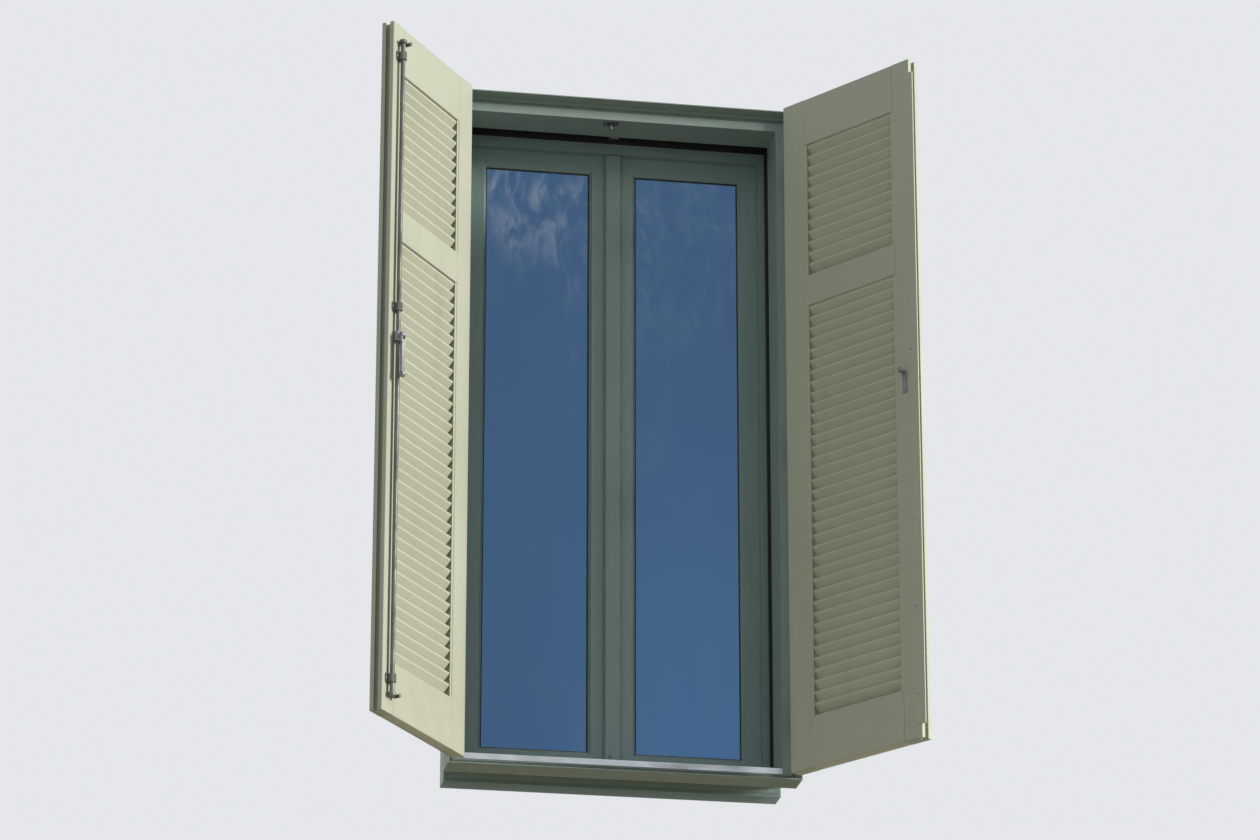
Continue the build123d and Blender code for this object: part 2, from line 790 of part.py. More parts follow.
# Seals on the frame: one that the leaves press on, and one that the casements press on
seal_side = rebate_width / 2 - seal_inset
seal_in = seal_inset + seal_width
seal_side_gap = (sash_lap - sash_seal_width) / 2
with BuildPart() as frame_seals:
    with BuildSketch(Plane.XZ.offset(rebate_gap - seal_clear)):
        block(-seal_side, seal_side, lip + seal_inset, lip + rebate_height - seal_inset)
        inner_side = seal_side - seal_width
        block(-inner_side, inner_side, lip + seal_in, lip + rebate_height - seal_in, Mode.SUBTRACT)
    extrude(amount=seal_clear - rebate_gap)
    with BuildSketch(Plane.XZ.offset(-window_front - window_stop_depth)):
        light_block(seal_side_gap + sash_seal_width)
        light_block(seal_side_gap, Mode.SUBTRACT)
    extrude(amount=seal_clear - sash_stop_gap)
keep(frame_seals.part, "frame_seals")

# Casement, drawn on the left and mirrored for the right
sash_left = -light_side - sash_lap
sash_right = -sash_meeting_gap / 2
sash_foot = light_foot - sash_lap
sash_head = light_head + sash_lap
sash_front = window_front + window_stop_depth + sash_stop_gap
sash_back = sash_front + sash_depth
glass_inset = sash_width - glass_cover
glass_front = sash_front + sash_lip + glass_seat_gap
glass_back = glass_front + 2 * pane_thick + pane_space
bead_front = glass_back + glass_seat_gap


def sash_block(inset, mode=Mode.ADD):
    """Rectangle of the open sketch, a given distance inside the casement's edges."""
    block(sash_left + inset, sash_right - inset, sash_foot + inset, sash_head - inset, mode)


with BuildPart() as sash_frame:
    with BuildSketch(Plane.XZ.offset(-sash_front)):
        sash_block(0)
        sash_block(sash_width, Mode.SUBTRACT)
    extrude(amount=-sash_lip)
    chamfer(sash_frame.faces().sort_by(Axis.Y)[0].inner_wires().edges(), sash_bevel)
    with BuildSketch(Plane.XZ.offset(-sash_front - sash_lip)):
        sash_block(0)
        sash_block(glass_inset, Mode.SUBTRACT)
    extrude(amount=sash_lip - sash_depth)

pane_inset = glass_inset + glass_edge_gap
with BuildPart() as sash_panes:
    for front in (glass_front, glass_back - pane_thick):
        with BuildSketch(Plane.XZ.offset(-front)):
            sash_block(pane_inset)
        extrude(amount=-pane_thick)

with BuildPart() as sash_spacer:
    with BuildSketch(Plane.XZ.offset(-glass_front - pane_thick)):
        sash_block(pane_inset + spacer_inset)
        sash_block(pane_inset + spacer_inset + spacer_width, Mode.SUBTRACT)
    extrude(amount=-pane_space)

with BuildPart() as sash_bead:
    with BuildSketch(Plane.XZ.offset(-bead_front)):
        sash_block(glass_inset)
        sash_block(glass_inset + bead_width, Mode.SUBTRACT)
    extrude(amount=bead_front - sash_back)
    chamfer(sash_bead.faces().sort_by(Axis.Y)[-1].inner_wires().edges(), bead_bevel)

# Casement hinges: lower halves with their pins on the frame, upper halves on the casement
sash_axis_x = sash_left - sash_gap / 2
sash_axis_y = sash_back + sash_barrel_radius + sash_barrel_clear
sash_hinge_levels = sash_foot + sash_hinge_from_end, sash_head - sash_hinge_from_end
with BuildPart() as sash_hinge_feet:
    for level in sash_hinge_levels:
        with BuildSketch(Plane.XY.offset(level)):
            block(sash_axis_x - sash_tab, sash_axis_x, window_back, sash_axis_y)
            with Locations((sash_axis_x, sash_axis_y)):
                RegularPolygon(sash_barrel_radius, sash_barrel_sides, major_radius=False)
        extrude(amount=-sash_barrel_height)
        with Locations((sash_axis_x, sash_axis_y, level)):
            Cylinder(sash_pin_radius, sash_barrel_height, align=up_middle)
    mirror(about=Plane.YZ)
keep(sash_hinge_feet.part, "sash_hinge_feet")

with BuildPart() as sash_hinges:
    for level in sash_hinge_levels:
        with BuildSketch(Plane.XY.offset(level + knuckle_gap)):
            block(sash_axis_x, sash_axis_x + sash_tab, sash_back, sash_axis_y)
            with Locations((sash_axis_x, sash_axis_y)):
                RegularPolygon(sash_barrel_radius, sash_barrel_sides, major_radius=False)
                Circle(sash_pin_radius + running_clear, mode=Mode.SUBTRACT)
        extrude(amount=sash_barrel_height)

# Casement handle: a rose on the meeting stile and a lever that turns in it
lever_x = sash_right - sash_width / 2
with BuildPart() as handle_rose:
    with BuildSketch(Plane.XZ.offset(-sash_back)):
        with Locations((lever_x, sash_handle_level)):
            eased(rose_width, rose_height)
    extrude(amount=-rose_thick)
    chamfer(handle_rose.faces().sort_by(Axis.Y)[-1].edges(), rose_ease)

neck_front = sash_back + rose_thick + knuckle_gap
with BuildPart() as handle_lever:
    with BuildSketch(Plane.XZ.offset(-neck_front)):
        with Locations((lever_x, sash_handle_level)):
            Circle(neck_radius)
    extrude(amount=-neck_length)
    with BuildSketch(Plane.XZ.offset(-neck_front - neck_length + grip_thick)):
        with Locations((lever_x, sash_handle_level - grip_length / 2)):
            eased(grip_width, grip_length + grip_width)
    extrude(amount=-grip_thick)

# Strips over the joint: one outside on the right casement, one inside on the left
with BuildPart() as sash_astragal:
    with BuildSketch(Plane.XY.offset(light_foot + astragal_end_gap)):
        astragal_back = sash_front - astragal_clear
        block(-astragal_width / 2, astragal_width / 2, sash_front - astragal_thick, astragal_back)
        block(-sash_right, astragal_width / 2, astragal_back, sash_front)
    extrude(amount=light_head - light_foot - 2 * astragal_end_gap)
    chamfer(sash_astragal.edges().filter_by(Axis.Z).group_by(Axis.Y)[0], astragal_bevel)
keep(sash_astragal.part, "sash_right_astragal")

with BuildPart() as sash_cover:
    with BuildSketch(Plane.XY.offset(sash_foot)):
        block(-cover_width / 2, sash_right, sash_back, sash_back + astragal_clear)
        block(-cover_width / 2, cover_width / 2, sash_back + astragal_clear, sash_back + cover_thick)
    extrude(amount=sash_head - sash_foot)
keep(sash_cover.part, "sash_left_cover")
keep(handle_rose.part, "sash_left_rose")
keep(handle_lever.part, "sash_left_lever")

# Both casements, from the same pieces
sash_pieces = {
    "frame": sash_frame.part,
    "panes": sash_panes.part,
    "spacer": sash_spacer.part,
    "bead": sash_bead.part,
    "hinges": sash_hinges.part,
}
for name, piece in sash_pieces.items():
    keep(piece, f"sash_left_{name}")
    keep(piece.mirror(Plane.YZ), f"sash_right_{name}")
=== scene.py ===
"""Louvred shutters with their frame and casements: finishes, small fittings and a plain studio."""

import json
from math import cos, pi, radians, sin

import bmesh
import bpy
from mathutils import Matrix, Vector


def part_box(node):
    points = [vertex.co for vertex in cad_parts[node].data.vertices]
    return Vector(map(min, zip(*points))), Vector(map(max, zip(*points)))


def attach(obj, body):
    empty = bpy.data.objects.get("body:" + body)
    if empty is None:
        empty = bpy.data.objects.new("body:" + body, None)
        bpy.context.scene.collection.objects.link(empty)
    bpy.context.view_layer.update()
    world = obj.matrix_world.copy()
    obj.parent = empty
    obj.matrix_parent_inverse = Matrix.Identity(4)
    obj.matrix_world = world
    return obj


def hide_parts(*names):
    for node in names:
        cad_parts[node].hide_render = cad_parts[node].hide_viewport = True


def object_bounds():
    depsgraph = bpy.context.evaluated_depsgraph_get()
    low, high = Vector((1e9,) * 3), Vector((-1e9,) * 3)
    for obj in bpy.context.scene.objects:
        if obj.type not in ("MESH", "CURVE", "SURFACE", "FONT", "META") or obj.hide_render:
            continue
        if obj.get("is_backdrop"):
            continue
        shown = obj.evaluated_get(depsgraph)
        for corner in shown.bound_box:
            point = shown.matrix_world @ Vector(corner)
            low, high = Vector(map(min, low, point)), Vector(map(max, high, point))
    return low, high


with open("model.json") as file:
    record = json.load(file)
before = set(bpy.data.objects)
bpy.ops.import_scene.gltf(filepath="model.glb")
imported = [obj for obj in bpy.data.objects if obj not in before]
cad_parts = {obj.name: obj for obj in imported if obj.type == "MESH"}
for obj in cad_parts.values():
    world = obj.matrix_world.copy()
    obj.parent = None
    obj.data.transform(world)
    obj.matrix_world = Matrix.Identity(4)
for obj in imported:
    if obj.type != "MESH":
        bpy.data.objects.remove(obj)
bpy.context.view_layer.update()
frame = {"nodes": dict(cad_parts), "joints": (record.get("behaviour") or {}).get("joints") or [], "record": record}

bl_info = {
    "name": "Louvred shutters",
    "version": (1, 0, 0),
    "blender": (4, 5, 0),
    "location": "3D View > Sidebar > Shutters",
    "description": "Finishes and small fittings for a pair of louvred shutters with their frame",
    "category": "Object",
}

JOINTS = {joint["name"]: joint for joint in frame["joints"]}
LEFT, RIGHT = (-1, 0, 0), (1, 0, 0)
OUTDOORS, INDOORS = (0, -1, 0), (0, 1, 0)
DOWN, UP = (0, 0, -1), (0, 0, 1)
MIRROR = Matrix.Scale(-1, 4, RIGHT)

# Sizes are in metres. A leaf is drawn shut and on the left, then swung open and mirrored for the right
HINGE_AXIS = Vector((*JOINTS["shutter_left_swing"]["pos_m"][:2], 0.0))
OPEN_ANGLE = radians(JOINTS["shutter_left_swing"]["range_deg"][1])

# Leaf hinges: one wing's size, its screws' rise and shift, and the gap between leaf and frame
WING_HALF_HEIGHT, WING_HALF_WIDTH, WING_THICK = 0.040, 0.016, 0.0017
WING_SCREWS = (-0.027, 0.004), (-0.009, -0.004), (0.009, 0.004), (0.027, -0.004)
HINGE_GAP = 0.004

# Guides of the turning rod, and keepers of its hooks
GUIDE_PLATE, GUIDE_HALF_HEIGHT, MIDDLE_GUIDE_LEVEL = 0.003, 0.011, 1.081
GUIDE_SCREW_ACROSS = 0.0125
KEEPER_THICK, KEEPER_SCREW_ACROSS = 0.002, 0.014

# Grub screws of the rod: the way they face, and their places in the hooks' and the lug's collars
GRUB_TURN = radians(-67.5)
HOOK_COLLAR_REACH, HOOK_COLLAR_INSET = 0.0099, 0.004
LUG_COLLAR_REACH, LUG_COLLAR_RISES = 0.0098, (-0.0065, 0.0085)

# Handle rest, strip over the meeting edges, and catch of the screen
REST_PLATE, REST_SCREW_DROPS = 0.0025, (0.024, 0.052)
STRIP_SCREWS, STRIP_FIRST, STRIP_LAST = 8, 0.12, 1.75
CATCH_SCREW_INSET, CATCH_SCREW_RISES = 0.0065, (0.01548, 0.05332)

# Casements: the sash's faces beside the glass, the hinges, and the seal's place by the sashes
SASH_FACE_OUTSIDE, SASH_FACE_INSIDE = 0.058, 0.060
SASH_HINGE_HEIGHT, SASH_BARREL = 0.0522, 0.0065
SEAL_INSET, SEAL_CLEAR = 0.0005, 0.002

# Bulb seals: width, how far each reaches out or in from its face, and the leaf seal's face
LEAF_BULB_WIDTH, LEAF_BULB_REACH = 0.008, -0.0032
SASH_BULB_WIDTH, SASH_BULB_REACH = 0.005, 0.0017
LEAF_SEAL_FACE, BULB_STEPS = 0.0, 8

# Grip of the casement's lever. The last two are shares of its width and thickness at the very ends
GRIP_ROWS, GRIP_SPOKES, GRIP_FLATNESS = 36, 24, 0.72
GRIP_THICK, GRIP_HALF_WIDTH, GRIP_WAIST, GRIP_TAPER, GRIP_BOW = 0.009, 0.009, 0.0016, 0.0012, 0.0022
GRIP_TIP, GRIP_END = 0.06, 0.4

# Screw heads: how far each kind stands proud, the radii of the special ones, and the rise of the rose's two
FLUSH_PROUD, DOMED_PROUD, GUIDE_PROUD, CATCH_PROUD = 0.00022, 0.0014, 0.0013, 0.0009
ROSE_PROUD, GRUB_PROUD = 0.0012, 0.0009
SMALL_HEAD, ROSE_HEAD, GRUB_HEAD = 0.0026, 0.0034, 0.0024
ROSE_SCREW_RISE = 0.021

# Sides of a turned form
ROUND_SIDES, FINE_SIDES, GRUB_SIDES = 24, 32, 20

# Heights and sides, on the object, between which its weathering changes, and the painted reflection on the glass:
# its painted clouds and its paler painted sky
SPLASH_TOP = 0.35
PAINTED_CLOUD_FOOT, PAINTED_CLOUD_TOP = 1.12, 1.68
PAINTED_CLOUD_LEFT, PAINTED_CLOUD_RIGHT = -0.25, 0.18
PAINTED_SKY_PALE_FOOT, PAINTED_SKY_PALE_TOP = 0.05, 1.5

# Linear colours that no setting holds. The first is the pale of the clouds painted on the glass as a reflection
PAINTED_CLOUD_PALE, SMEAR_GREY = (0.50, 0.55, 0.62), (0.4, 0.42, 0.4)
BLACK_PAINT, RUBBED_BLACK = (0.012, 0.013, 0.014), (0.06, 0.062, 0.06)
BLACK_RUBBER = (0.02, 0.02, 0.02)

# Floor, sky, suns and camera. Their azimuths, heights and spreads are angles in degrees
FLOOR_RADIUS, FLOOR_SIDES, FLOOR_LEVEL, FLOOR_LIFT = 30, 64, -0.0006, 1.16
SKY_STRENGTH, SKY_TURN = 0.38, (-0.65, 0.3)
SKY_BELOW, SKY_ABOVE = (1.0, 0.885, 0.66), (0.87, 0.95, 1.0)
KEY_SUN = {"azimuth": 66, "height": 14, "strength": 3.6, "spread": 14, "colour": (1.0, 0.955, 0.89)}
FILL_SUN = {"azimuth": -30, "height": 18, "strength": 0.16, "spread": 60, "colour": (0.88, 0.95, 1.0)}
CAMERA_AZIMUTH, CAMERA_HEIGHT, CAMERA_REACH = -10.0, -20.5, 13.0
LENS, SENSOR = 142, 36

# Places of the Mix node's sockets when it mixes colours
MIX_SHARE, MIX_FIRST, MIX_SECOND, MIX_COLOUR = 0, 6, 7, 2

FINISHES = {}


class ShutterColours(bpy.types.PropertyGroup):
    """Colours of the finishes"""

    leaf_paint: bpy.props.FloatVectorProperty(
        name="Leaf paint",
        description="Powder coat of the leaves, linear",
        subtype="COLOR",
        size=3,
        default=(0.462, 0.486, 0.38),
    )
    # Painted shade: a darker, bluer copy of the leaf paint, for the frame that stands in shade.
    frame_paint_shaded: bpy.props.FloatVectorProperty(
        name="Frame paint",
        description="Powder coat of the outer frame and the reveal lining, linear",
        subtype="COLOR",
        size=3,
        default=(0.255, 0.335, 0.305),
    )
    # Painted shade: a darker, bluer copy of the leaf paint, for the casements in shade.
    timber_paint_shaded: bpy.props.FloatVectorProperty(
        name="Timber paint",
        description="Brushed paint of the casements and their frame, linear",
        subtype="COLOR",
        size=3,
        default=(0.19, 0.285, 0.275),
    )
    # Painted reflection: this blue stands in for the sky that the glass reflects, painted into its colour.
    glass_painted_sky: bpy.props.FloatVectorProperty(
        name="Glass tint",
        description="Blue that the glass coating reflects, linear",
        subtype="COLOR",
        size=3,
        default=(0.048, 0.132, 0.28),
    )
    dust: bpy.props.FloatVectorProperty(
        name="Dust",
        description="Stone dust that settles on ledges, linear",
        subtype="COLOR",
        size=3,
        default=(0.55, 0.50, 0.40),
    )
    backdrop: bpy.props.FloatVectorProperty(
        name="Backdrop",
        description="Colour behind the object, linear",
        subtype="COLOR",
        size=3,
        default=(0.78, 0.80, 0.82),
    )


class ShutterSizes(bpy.types.PropertyGroup):
    """Sizes of the small fittings, and the wear of the paint"""

    screw_radius: bpy.props.FloatProperty(
        name="Screw head radius",
        description="Radius of a fitting screw's head",
        default=0.0033,
        min=0.001,
        unit="LENGTH",
    )
    cap_radius: bpy.props.FloatProperty(
        name="Cap radius",
        description="Radius of the caps that cover the wall fixings",
        default=0.0085,
        min=0.006,
        unit="LENGTH",
    )
    gasket_width: bpy.props.FloatProperty(
        name="Gasket width",
        description="Width of the rubber that shows round the glass",
        default=0.0035,
        min=0.001,
        unit="LENGTH",
    )
    fade: bpy.props.FloatProperty(
        name="Fading",
        description="How far sun and rain have faded the powder coat",
        default=0.3,
        min=0.0,
        max=1.0,
        subtype="FACTOR",
    )


class Field:
    """A socket of a node tree, on which arithmetic adds Math nodes."""

    def __init__(self, nodes, socket):
        self.nodes, self.socket = nodes, socket

    def _math(self, operation, *values):
        return self.nodes.node("ShaderNodeMath", {"operation": operation}, dict(enumerate(values)))

    def __add__(self, other):
        return self._math("ADD", self, other)

    __radd__ = __add__

    def __sub__(self, other):
        return self._math("SUBTRACT", self, other)

    def __rsub__(self, other):
        return self._math("SUBTRACT", other, self)

    def __mul__(self, other):
        return self._math("MULTIPLY", self, other)

    __rmul__ = __mul__

    def __gt__(self, other):
        return self._math("GREATER_THAN", self, other)

    def least(self, other):
        """The smaller of two values."""
        return self._math("MINIMUM", self, other)

    def most(self, other):
        """The larger of two values."""
        return self._math("MAXIMUM", self, other)

    def between(self, low, high):
        """0 below low, 1 above high, and smooth between them."""
        ends = {"Value": self, "From Min": low, "From Max": high}
        return self.nodes.node("ShaderNodeMapRange", {"interpolation_type": "SMOOTHSTEP"}, ends)


class Nodes:
    """A node tree in which every node comes from one method."""

    def __init__(self, tree):
        self.tree = tree

    def node(self, kind, settings=None, inputs=None, output=0):
        """Adds a node, with its settings first and then the values or links of its sockets."""
        made = self.tree.nodes.new(kind)
        for setting, value in (settings or {}).items():
            setattr(made, setting, value)
        for socket, value in (inputs or {}).items():
            self.put(made.inputs[socket], value)
        if not made.outputs:
            return None
        return Field(self, made.outputs[output])

    def put(self, socket, value):
        """Sets a socket to a value, or links a field to it."""
        if isinstance(value, Field):
            self.tree.links.new(value.socket, socket)
        elif socket.type == "RGBA" and len(value) == 3:
            socket.default_value = (*value, 1.0)
        else:
            socket.default_value = value

    def axis(self, vector, letter):
        """One coordinate of a vector."""
        return self.node("ShaderNodeSeparateXYZ", None, {0: vector}, "XYZ".index(letter))

    def blend(self, share, first, second):
        """Colour that goes from the first to the second as share goes from 0 to 1."""
        inputs = {MIX_SHARE: share, MIX_FIRST: first, MIX_SECOND: second}
        return self.node("ShaderNodeMix", {"data_type": "RGBA"}, inputs, MIX_COLOUR)

    def ray(self, name):
        """1 for one kind of light path, such as Is Camera Ray."""
        return self.node("ShaderNodeLightPath", output=name)


class Finish(Nodes):
    """A material built up from nodes round one Principled shader."""

    def __init__(self, name, **constants):
        self.material = FINISHES[name] = bpy.data.materials.new(f"{name}_finish")
        self.material.use_nodes = True
        super().__init__(self.material.node_tree)
        self.shader = self.tree.nodes["Principled BSDF"]
        for socket, value in constants.items():
            self.feed(socket.replace("_", " "), value)

    def feed(self, socket, value):
        """Sets one of the shader's own sockets, or links a field to it."""
        self.put(self.shader.inputs[socket], value)

    def places(self, stretch=(1, 1, 1)):
        """Places on the piece at rest, in metres, stretched along the axes."""
        at_rest = self.node("ShaderNodeTexCoord", output="Object")
        if stretch == (1, 1, 1):
            return at_rest
        return self.node("ShaderNodeVectorMath", {"operation": "MULTIPLY"}, {0: at_rest, 1: stretch})

    def noise(self, scale, detail=3.0, stretch=(1, 1, 1), low=0.35, high=0.65, twist=0.0):
        """Noise spread smoothly from 0 to 1."""
        inputs = {"Vector": self.places(stretch), "Scale": scale, "Detail": detail, "Distortion": twist}
        return self.node("ShaderNodeTexNoise", None, inputs).between(low, high)

    def facing_up(self):
        """1 on ledges and 0 on upright faces and undersides."""
        normal = self.node("ShaderNodeNewGeometry", output="Normal")
        return self.axis(normal, "Z").between(0.35, 0.95)

    def settled_dust(self, cover, drifts, grains, grain_scale):
        """Dust on ledges: an even cover, with broad drifts and fine grains on it."""
        broad = self.noise(scale=9.0)
        fine = self.noise(scale=grain_scale, detail=4.0)
        return self.facing_up() * (cover + drifts * broad + grains * fine)

    def relief(self, height, strength, distance):
        """Bump from a height field."""
        inputs = {"Strength": strength, "Distance": distance, "Height": height}
        self.feed("Normal", self.node("ShaderNodeBump", None, inputs))


def shade(colour, factor):
    """A colour made lighter or darker."""
    return tuple(min(1.0, channel * factor) for channel in colour)


def chalky(colour, greyer, paler):
    """A colour gone greyer and paler in the weather."""
    grey = sum(colour) / 3
    return tuple((1 - greyer) * channel + greyer * grey + paler for channel in colour)


def powder_coat(name, colour, dust, fade):
    """Weathered powder coat: chalky patches, faint runs of rain, dust on ledges, dirt near the foot."""
    coat = Finish(name, IOR=1.5)
    patches = coat.noise(scale=2.6, detail=5.0)
    runs = coat.noise(scale=1.0, detail=4.0, stretch=(21.0, 21.0, 1.3), low=0.5, high=0.8) * patches
    specks = coat.noise(scale=380.0, detail=2.0, low=0.60, high=0.74)
    pitted = coat.noise(scale=55.0, detail=6.0, low=0.56, high=0.72)
    low_down = 1 - coat.axis(coat.places(), "Z").between(0.0, SPLASH_TOP)
    splashed = low_down * coat.noise(scale=24.0, detail=4.0, low=0.4, high=0.75)
    ledge = coat.settled_dust(cover=0.6, drifts=0.25, grains=0.15, grain_scale=60.0)
    tone = coat.blend(fade * patches, shade(colour, 0.97), chalky(colour, greyer=0.28, paler=0.05))
    tone = coat.blend(0.3 * runs, tone, shade(colour, 0.6))
    tone = coat.blend(0.16 * pitted, tone, shade(colour, 0.78))
    tone = coat.blend((0.45 * ledge + 0.22 * splashed).least(0.8), tone, dust)
    tone = coat.blend(0.2 * specks, tone, shade(colour, 0.55))
    coat.feed("Base Color", tone)
    coat.feed("Roughness", (0.40 + 0.12 * patches + 0.25 * ledge + 0.1 * splashed).least(0.85))
    grain = coat.node("ShaderNodeTexNoise", None, {"Vector": coat.places(), "Scale": 900.0, "Detail": 2.0})
    coat.relief(grain, strength=0.3, distance=0.0006)


def timber_coat(name, colour, dust):
    """Brush-painted timber: fine strokes along the stiles and across the rails, worn a little pale."""
    coat = Finish(name, IOR=1.5, Coat_Weight=0.15, Coat_Roughness=0.25)
    low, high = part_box("sash_left_frame")
    height = coat.axis(coat.places(), "Z")
    on_rails = (height > high.z - SASH_FACE_OUTSIDE) + (1 - (height > low.z + SASH_FACE_OUTSIDE))
    upright = coat.noise(scale=9.0, detail=5.0, stretch=(34.0, 34.0, 1.0), low=0.3, high=0.7)
    level = coat.noise(scale=9.0, detail=5.0, stretch=(1.0, 34.0, 34.0), low=0.3, high=0.7)
    strokes = on_rails * level + (1 - on_rails) * upright
    patches = coat.noise(scale=3.4, detail=4.0)
    pores = coat.noise(scale=70.0, stretch=(6.0, 6.0, 0.35), low=0.62, high=0.82) * (1 - on_rails)
    ledge = coat.settled_dust(cover=0.6, drifts=0.25, grains=0.15, grain_scale=50.0)
    tone = coat.blend(0.4 * strokes, shade(colour, 0.88), shade(colour, 1.12))
    tone = coat.blend(0.3 * patches, tone, tuple(0.8 * channel + 0.06 for channel in colour))
    tone = coat.blend(0.18 * pores, tone, shade(colour, 0.5))
    tone = coat.blend(0.5 * ledge, tone, dust)
    coat.feed("Base Color", tone)
    coat.feed("Roughness", 0.36 + 0.14 * strokes + 0.3 * ledge)
    coat.relief(strokes + 0.6 * pores, strength=0.35, distance=0.0004)


def glass_painted_with_sky(name, painted_sky):
    """Glass with a painted reflection of the sky: mirror-like blue, paler low down, painted soft clouds towards
    its head, and a little dust.
    """
    glass = Finish(name, IOR=1.5, Metallic=0.85, Alpha=0.9, Coat_Weight=0.5, Coat_Roughness=0.02)
    places = glass.places()
    height, side = glass.axis(places, "Z"), glass.axis(places, "X")
    wisps = glass.noise(scale=5.0, detail=8.0, stretch=(1.0, 1.0, 0.7), low=0.38, high=0.72, twist=0.5)
    lace = glass.noise(scale=17.0, detail=8.0, stretch=(1.3, 1.0, 0.6), low=0.36, high=0.7, twist=1.2)
    on_left = 1 - side.between(PAINTED_CLOUD_LEFT, PAINTED_CLOUD_RIGHT)
    # Painted reflection of soft clouds towards the glass's head, strongest on the left.
    cloud = wisps * lace * height.between(PAINTED_CLOUD_FOOT, PAINTED_CLOUD_TOP) * (0.35 + 0.65 * on_left)
    # Painted reflection: a paler sky low down, weakest on the left.
    paler = (1 - height.between(PAINTED_SKY_PALE_FOOT, PAINTED_SKY_PALE_TOP)) * (1 - 0.75 * on_left)
    smears = glass.noise(scale=7.0, detail=4.0, stretch=(2.0, 2.0, 0.5), low=0.5, high=0.8)
    # Painted reflection: the sky's blue laid on as the glass's colour, paler low down.
    tone = glass.blend(paler, painted_sky, shade(painted_sky, 1.32))
    tone = glass.blend(0.55 * cloud, tone, PAINTED_CLOUD_PALE)
    glass.feed("Base Color", glass.blend(0.04 * smears, tone, SMEAR_GREY))
    glass.feed("Roughness", 0.02 + 0.04 * smears)
    glass.relief(glass.noise(scale=2.2, detail=1.0, low=0.2, high=0.8), strength=0.03, distance=0.004)


def worked_metal(name, colour, dust, roughness, grain=(1, 1, 1), scratches=0.2, tarnish=0.35):
    """Bare metal with a directional grain, fine scratches, tarnish and some dust."""
    metal = Finish(name)
    lines = metal.noise(scale=180.0, stretch=grain, low=0.3, high=0.7)
    stains = metal.noise(scale=11.0, detail=5.0, low=0.42, high=0.7)
    marks = metal.noise(scale=240.0, detail=2.0, stretch=(1.0, 1.0, 0.06), low=0.66, high=0.76)
    ledge = metal.settled_dust(cover=0.3, drifts=0.3, grains=0.2, grain_scale=70.0)
    tone = metal.blend(0.3 * lines, colour, shade(colour, 0.8))
    tone = metal.blend(tarnish * stains, tone, shade(colour, 0.5))
    tone = metal.blend(scratches * marks, tone, shade(colour, 1.35))
    metal.feed("Base Color", metal.blend(0.35 * ledge, tone, dust))
    metal.feed("Metallic", 0.95 - 0.5 * ledge - 0.25 * stains)
    metal.feed("Roughness", (roughness + 0.12 * lines + 0.18 * stains + 0.3 * ledge).least(0.9))
    metal.relief(lines + 0.5 * marks, strength=0.2, distance=0.0003)


def black_coat(name, dust):
    """Black powder coat that brushes have rubbed and dust has greyed."""
    coat = Finish(name, IOR=1.5)
    rubs = coat.noise(scale=30.0, detail=4.0, stretch=(6.0, 6.0, 0.3), low=0.5, high=0.8)
    ledge = coat.facing_up() * (0.3 + 0.25 * coat.noise(scale=9.0))
    tone = coat.blend(0.35 * rubs, BLACK_PAINT, RUBBED_BLACK)
    coat.feed("Base Color", coat.blend(0.4 * ledge, tone, dust))
    coat.feed("Roughness", 0.5 + 0.2 * rubs + 0.2 * ledge)
    coat.relief(coat.noise(scale=800.0, detail=2.0), strength=0.15, distance=0.0004)


def matt_skin(name, colour, dust, roughness, mottle):
    """Rubber or matt plastic: mottled, with a pale bloom, dusty ledges and a fine moulded grain."""
    skin = Finish(name, IOR=1.47)
    cloud = skin.noise(scale=22.0, detail=4.0)
    bloom = skin.noise(scale=90.0, low=0.5, high=0.8)
    ledge = skin.facing_up() * skin.noise(scale=60.0, detail=4.0)
    tone = skin.blend(mottle * cloud, colour, shade(colour, 1.6))
    tone = skin.blend(0.14 * bloom, tone, dust)
    skin.feed("Base Color", skin.blend(0.4 * ledge, tone, dust))
    skin.feed("Roughness", roughness + 0.12 * cloud)
    skin.relief(skin.noise(scale=500.0, detail=2.0), strength=0.18, distance=0.0004)


def finish_name(node, slot):
    """A CAD node's finish is its slot's, apart from the leaves' own paint and the drop handle's metal."""
    if node in ("drop_handle", "handle_lug", "handle_rest"):
        return "handle_metal"
    if slot == "painted_aluminium" and (node.startswith("shutter_") or node == "meeting_strip"):
        return "leaf_paint"
    return slot


